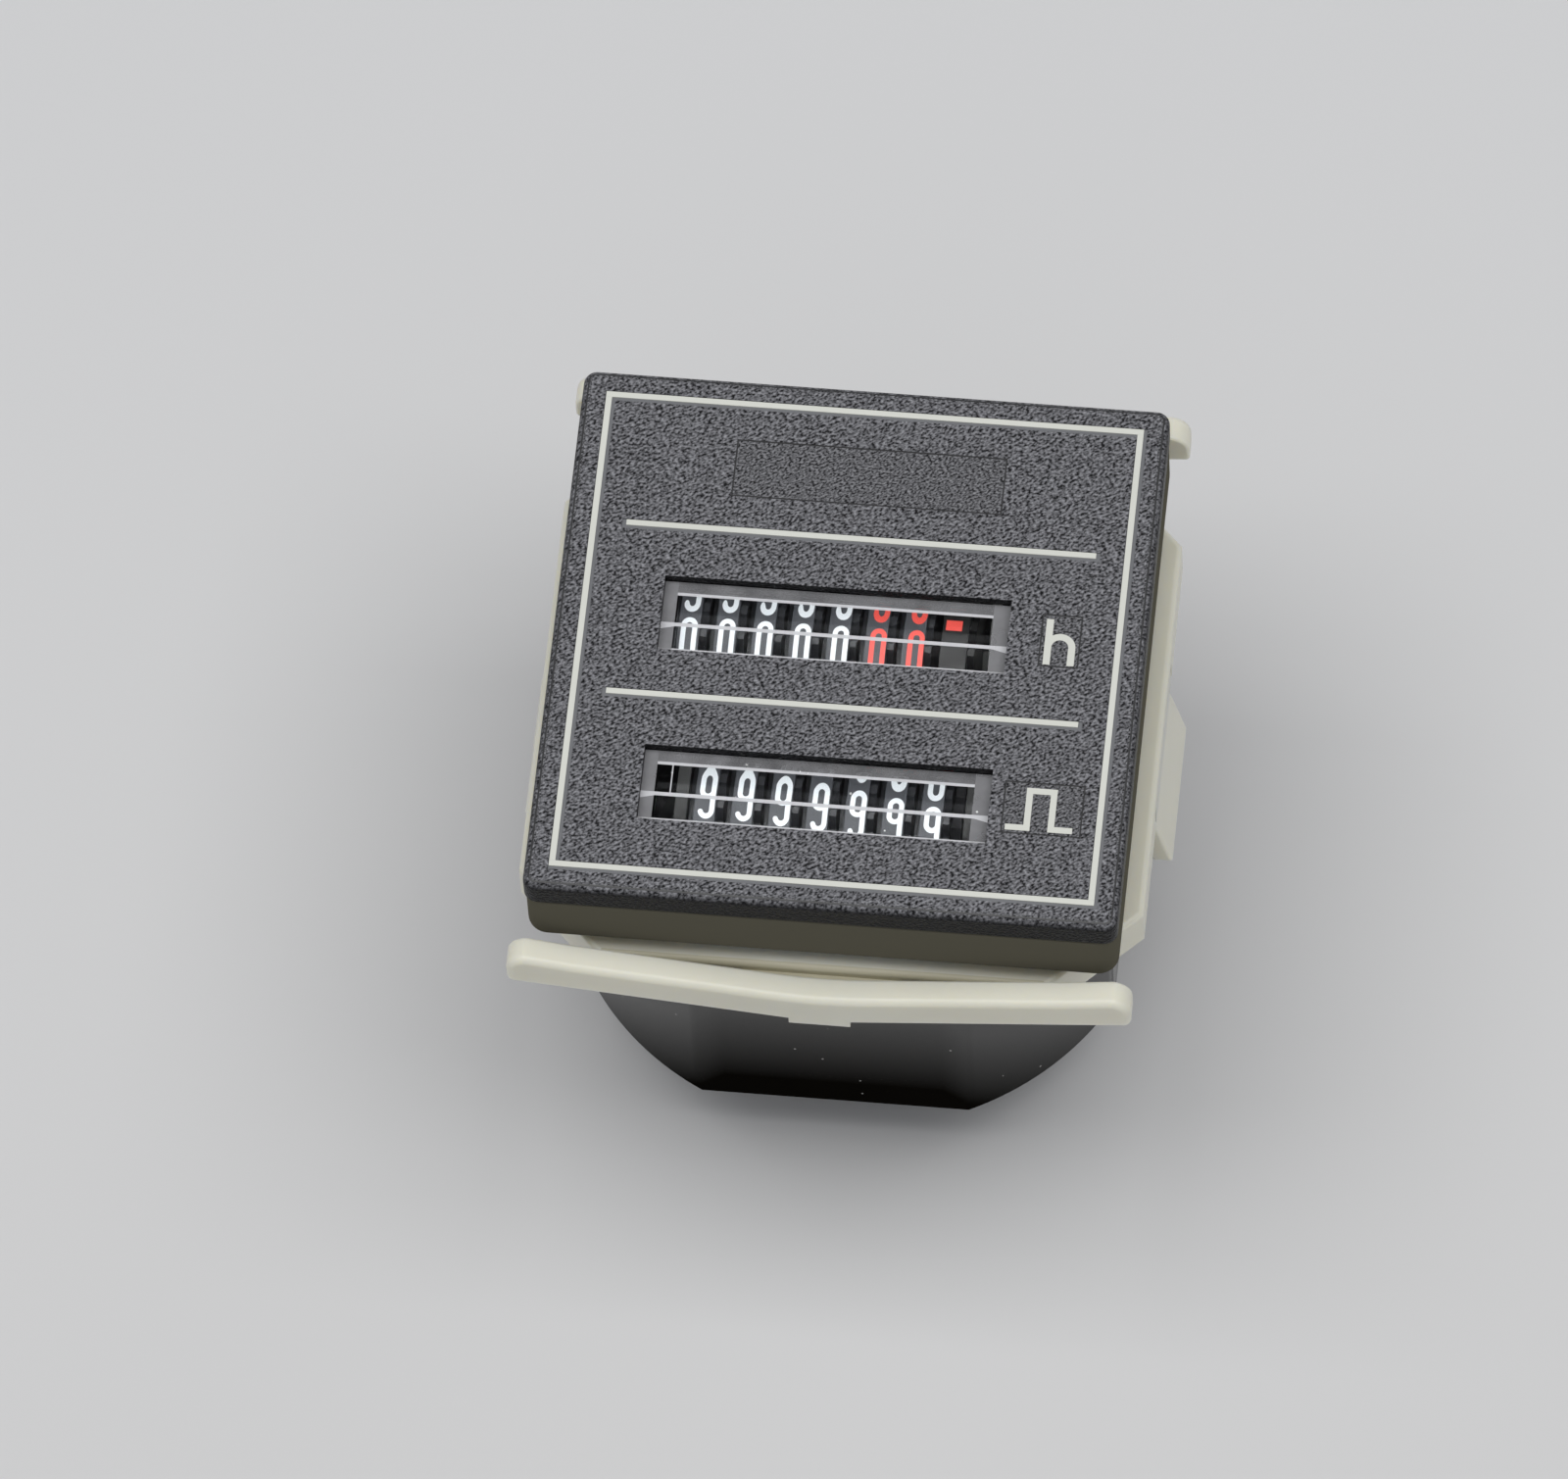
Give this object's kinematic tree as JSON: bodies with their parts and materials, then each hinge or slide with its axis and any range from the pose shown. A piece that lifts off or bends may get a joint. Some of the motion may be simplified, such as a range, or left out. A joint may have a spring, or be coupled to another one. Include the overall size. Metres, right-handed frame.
{
  "type": "hour meter",
  "caption": "Square panel hour meter with a pulse counter under it: two windows of number wheels, round rear body, sliding clamp frame and blade terminals.",
  "frame": {"origin": "on the body's axis in the plane of the four terminal tips, on which the instrument stands face up", "axes": "+Z out of the front face, +X along the rows of figures to the right, +Y to the top of the face"},
  "size_m": [0.0532, 0.0548, 0.0458],
  "materials": {
    "black_grained_plastic": "coarse sparkling grain",
    "black_gloss_plastic": "moulded gloss",
    "clear_plastic": "clear polished plastic",
    "natural_nylon": "satin, slightly translucent",
    "grey_wheel_plastic": "satin",
    "white_acetal": "satin",
    "black_frame_plastic": "satin",
    "plated_steel": "zinc plated",
    "tinned_brass": "bright tin plate",
    "lacquered_copper": "lacquered wire winding",
    "green_board": "solder resist"
  },
  "bodies": {
    "instrument": {"front_cap": "black_grained_plastic", "hour_lens": "clear_plastic", "count_lens": "clear_plastic", "housing": "black_gloss_plastic", "hour_frame": "black_frame_plastic", "count_frame": "black_frame_plastic", "hour_wheel_shaft": "plated_steel", "hour_pinion_shaft": "plated_steel", "count_wheel_shaft": "plated_steel", "count_pinion_shaft": "plated_steel", "idler_shaft": "plated_steel", "hour_motor": "plated_steel", "circuit_board": "green_board", "magnet_yoke": "plated_steel", "magnet_coil": "lacquered_copper", "armature_spring": "plated_steel", "terminal_1": "tinned_brass", "terminal_2": "tinned_brass", "terminal_3": "tinned_brass", "terminal_4": "tinned_brass"},
    "clamp": {"clamp_frame": "natural_nylon"},
    "run_indicator": {"run_indicator": "grey_wheel_plastic"},
    "hour_wheel_7": {"hour_wheel_7": "grey_wheel_plastic"},
    "hour_pinion_7": {"hour_pinion_7": "white_acetal"},
    "hour_wheel_6": {"hour_wheel_6": "grey_wheel_plastic"},
    "hour_pinion_6": {"hour_pinion_6": "white_acetal"},
    "hour_wheel_5": {"hour_wheel_5": "grey_wheel_plastic"},
    "hour_pinion_5": {"hour_pinion_5": "white_acetal"},
    "hour_wheel_4": {"hour_wheel_4": "grey_wheel_plastic"},
    "hour_pinion_4": {"hour_pinion_4": "white_acetal"},
    "hour_wheel_3": {"hour_wheel_3": "grey_wheel_plastic"},
    "hour_pinion_3": {"hour_pinion_3": "white_acetal"},
    "hour_wheel_2": {"hour_wheel_2": "grey_wheel_plastic"},
    "hour_pinion_2": {"hour_pinion_2": "white_acetal"},
    "hour_wheel_1": {"hour_wheel_1": "grey_wheel_plastic"},
    "hour_pinion_1": {"hour_pinion_1": "white_acetal"},
    "idler_gear": {"idler_gear": "white_acetal"},
    "motor_pinion": {"motor_pinion": "white_acetal"},
    "count_wheel_7": {"count_wheel_7": "grey_wheel_plastic", "count_ratchet": "white_acetal"},
    "count_wheel_6": {"count_wheel_6": "grey_wheel_plastic"},
    "count_pinion_6": {"count_pinion_6": "white_acetal"},
    "count_wheel_5": {"count_wheel_5": "grey_wheel_plastic"},
    "count_pinion_5": {"count_pinion_5": "white_acetal"},
    "count_wheel_4": {"count_wheel_4": "grey_wheel_plastic"},
    "count_pinion_4": {"count_pinion_4": "white_acetal"},
    "count_wheel_3": {"count_wheel_3": "grey_wheel_plastic"},
    "count_pinion_3": {"count_pinion_3": "white_acetal"},
    "count_wheel_2": {"count_wheel_2": "grey_wheel_plastic"},
    "count_pinion_2": {"count_pinion_2": "white_acetal"},
    "count_wheel_1": {"count_wheel_1": "grey_wheel_plastic"},
    "count_pinion_1": {"count_pinion_1": "white_acetal"},
    "armature": {"armature": "plated_steel"}
  },
  "joints": [
    {"name": "clamp_slide", "type": "slide", "parent": "instrument", "child": "clamp", "axis": [0, 0, -1], "range_m": [0, 0.018]},
    {"name": "run_indicator_spin", "type": "hinge", "parent": "instrument", "child": "run_indicator", "pos_m": [0, 0.0019, 0.0353], "axis": [1, 0, 0], "continuous": true},
    {"name": "hour_wheel_7_spin", "type": "hinge", "parent": "instrument", "child": "hour_wheel_7", "pos_m": [0, 0.0019, 0.0353], "axis": [1, 0, 0], "continuous": true},
    {"name": "hour_pinion_7_spin", "type": "hinge", "parent": "instrument", "child": "hour_pinion_7", "pos_m": [0, 0.0019, 0.0269], "axis": [1, 0, 0], "continuous": true},
    {"name": "hour_wheel_6_spin", "type": "hinge", "parent": "instrument", "child": "hour_wheel_6", "pos_m": [0, 0.0019, 0.0353], "axis": [1, 0, 0], "continuous": true},
    {"name": "hour_pinion_6_spin", "type": "hinge", "parent": "instrument", "child": "hour_pinion_6", "pos_m": [0, 0.0019, 0.0269], "axis": [1, 0, 0], "continuous": true},
    {"name": "hour_wheel_5_spin", "type": "hinge", "parent": "instrument", "child": "hour_wheel_5", "pos_m": [0, 0.0019, 0.0353], "axis": [1, 0, 0], "continuous": true},
    {"name": "hour_pinion_5_spin", "type": "hinge", "parent": "instrument", "child": "hour_pinion_5", "pos_m": [0, 0.0019, 0.0269], "axis": [1, 0, 0], "continuous": true},
    {"name": "hour_wheel_4_spin", "type": "hinge", "parent": "instrument", "child": "hour_wheel_4", "pos_m": [0, 0.0019, 0.0353], "axis": [1, 0, 0], "continuous": true},
    {"name": "hour_pinion_4_spin", "type": "hinge", "parent": "instrument", "child": "hour_pinion_4", "pos_m": [0, 0.0019, 0.0269], "axis": [1, 0, 0], "continuous": true},
    {"name": "hour_wheel_3_spin", "type": "hinge", "parent": "instrument", "child": "hour_wheel_3", "pos_m": [0, 0.0019, 0.0353], "axis": [1, 0, 0], "continuous": true},
    {"name": "hour_pinion_3_spin", "type": "hinge", "parent": "instrument", "child": "hour_pinion_3", "pos_m": [0, 0.0019, 0.0269], "axis": [1, 0, 0], "continuous": true},
    {"name": "hour_wheel_2_spin", "type": "hinge", "parent": "instrument", "child": "hour_wheel_2", "pos_m": [0, 0.0019, 0.0353], "axis": [1, 0, 0], "continuous": true},
    {"name": "hour_pinion_2_spin", "type": "hinge", "parent": "instrument", "child": "hour_pinion_2", "pos_m": [0, 0.0019, 0.0269], "axis": [1, 0, 0], "continuous": true},
    {"name": "hour_wheel_1_spin", "type": "hinge", "parent": "instrument", "child": "hour_wheel_1", "pos_m": [0, 0.0019, 0.0353], "axis": [1, 0, 0], "continuous": true},
    {"name": "hour_pinion_1_spin", "type": "hinge", "parent": "instrument", "child": "hour_pinion_1", "pos_m": [0, 0.0019, 0.0269], "axis": [1, 0, 0], "continuous": true},
    {"name": "idler_gear_spin", "type": "hinge", "parent": "instrument", "child": "idler_gear", "pos_m": [0, 0.00917, 0.0311], "axis": [1, 0, 0], "continuous": true},
    {"name": "motor_pinion_spin", "type": "hinge", "parent": "instrument", "child": "motor_pinion", "pos_m": [0, 0.01521, 0.02718], "axis": [1, 0, 0], "continuous": true},
    {"name": "count_wheel_7_spin", "type": "hinge", "parent": "instrument", "child": "count_wheel_7", "pos_m": [0, -0.0137, 0.0353], "axis": [1, 0, 0], "continuous": true},
    {"name": "count_wheel_6_spin", "type": "hinge", "parent": "instrument", "child": "count_wheel_6", "pos_m": [0, -0.0137, 0.0353], "axis": [1, 0, 0], "continuous": true},
    {"name": "count_pinion_6_spin", "type": "hinge", "parent": "instrument", "child": "count_pinion_6", "pos_m": [0, -0.0137, 0.0269], "axis": [1, 0, 0], "continuous": true},
    {"name": "count_wheel_5_spin", "type": "hinge", "parent": "instrument", "child": "count_wheel_5", "pos_m": [0, -0.0137, 0.0353], "axis": [1, 0, 0], "continuous": true},
    {"name": "count_pinion_5_spin", "type": "hinge", "parent": "instrument", "child": "count_pinion_5", "pos_m": [0, -0.0137, 0.0269], "axis": [1, 0, 0], "continuous": true},
    {"name": "count_wheel_4_spin", "type": "hinge", "parent": "instrument", "child": "count_wheel_4", "pos_m": [0, -0.0137, 0.0353], "axis": [1, 0, 0], "continuous": true},
    {"name": "count_pinion_4_spin", "type": "hinge", "parent": "instrument", "child": "count_pinion_4", "pos_m": [0, -0.0137, 0.0269], "axis": [1, 0, 0], "continuous": true},
    {"name": "count_wheel_3_spin", "type": "hinge", "parent": "instrument", "child": "count_wheel_3", "pos_m": [0, -0.0137, 0.0353], "axis": [1, 0, 0], "continuous": true},
    {"name": "count_pinion_3_spin", "type": "hinge", "parent": "instrument", "child": "count_pinion_3", "pos_m": [0, -0.0137, 0.0269], "axis": [1, 0, 0], "continuous": true},
    {"name": "count_wheel_2_spin", "type": "hinge", "parent": "instrument", "child": "count_wheel_2", "pos_m": [0, -0.0137, 0.0353], "axis": [1, 0, 0], "continuous": true},
    {"name": "count_pinion_2_spin", "type": "hinge", "parent": "instrument", "child": "count_pinion_2", "pos_m": [0, -0.0137, 0.0269], "axis": [1, 0, 0], "continuous": true},
    {"name": "count_wheel_1_spin", "type": "hinge", "parent": "instrument", "child": "count_wheel_1", "pos_m": [0, -0.0137, 0.0353], "axis": [1, 0, 0], "continuous": true},
    {"name": "count_pinion_1_spin", "type": "hinge", "parent": "instrument", "child": "count_pinion_1", "pos_m": [0, -0.0137, 0.0269], "axis": [1, 0, 0], "continuous": true},
    {"name": "armature_swing", "type": "hinge", "parent": "instrument", "child": "armature", "pos_m": [0, -0.0181, 0.0192], "axis": [-1, 0, 0], "range_deg": [0, 4], "stiffness_Nm_per_rad": 0.002, "springref_deg": -6.88, "deforming": ["armature_spring"]}
  ],
  "couplings": [
    {"joint": "hour_wheel_7_spin", "follows": "run_indicator_spin", "ratio": 0.1},
    {"joint": "hour_pinion_7_spin", "follows": "run_indicator_spin", "ratio": -0.25},
    {"joint": "hour_wheel_6_spin", "follows": "run_indicator_spin", "ratio": 0.01},
    {"joint": "hour_pinion_6_spin", "follows": "run_indicator_spin", "ratio": -0.025},
    {"joint": "hour_wheel_5_spin", "follows": "run_indicator_spin", "ratio": 0.001},
    {"joint": "hour_pinion_5_spin", "follows": "run_indicator_spin", "ratio": -0.0025},
    {"joint": "hour_wheel_4_spin", "follows": "run_indicator_spin", "ratio": 0.0001},
    {"joint": "hour_pinion_4_spin", "follows": "run_indicator_spin", "ratio": -0.00025},
    {"joint": "hour_wheel_3_spin", "follows": "run_indicator_spin", "ratio": 0.00001},
    {"joint": "hour_pinion_3_spin", "follows": "run_indicator_spin", "ratio": -0.000025},
    {"joint": "hour_wheel_2_spin", "follows": "run_indicator_spin", "ratio": 0.000001},
    {"joint": "hour_pinion_2_spin", "follows": "run_indicator_spin", "ratio": -0.0000025},
    {"joint": "hour_wheel_1_spin", "follows": "run_indicator_spin", "ratio": 0.0000001},
    {"joint": "hour_pinion_1_spin", "follows": "run_indicator_spin", "ratio": -0.00000025},
    {"joint": "idler_gear_spin", "follows": "run_indicator_spin", "ratio": -2.5},
    {"joint": "motor_pinion_spin", "follows": "run_indicator_spin", "ratio": 5},
    {"joint": "count_wheel_6_spin", "follows": "count_wheel_7_spin", "ratio": 0.1},
    {"joint": "count_pinion_6_spin", "follows": "count_wheel_7_spin", "ratio": -0.25},
    {"joint": "count_wheel_5_spin", "follows": "count_wheel_7_spin", "ratio": 0.01},
    {"joint": "count_pinion_5_spin", "follows": "count_wheel_7_spin", "ratio": -0.025},
    {"joint": "count_wheel_4_spin", "follows": "count_wheel_7_spin", "ratio": 0.001},
    {"joint": "count_pinion_4_spin", "follows": "count_wheel_7_spin", "ratio": -0.0025},
    {"joint": "count_wheel_3_spin", "follows": "count_wheel_7_spin", "ratio": 0.0001},
    {"joint": "count_pinion_3_spin", "follows": "count_wheel_7_spin", "ratio": -0.00025},
    {"joint": "count_wheel_2_spin", "follows": "count_wheel_7_spin", "ratio": 0.00001},
    {"joint": "count_pinion_2_spin", "follows": "count_wheel_7_spin", "ratio": -0.000025},
    {"joint": "count_wheel_1_spin", "follows": "count_wheel_7_spin", "ratio": 0.000001},
    {"joint": "count_pinion_1_spin", "follows": "count_wheel_7_spin", "ratio": -0.0000025}
  ]
}
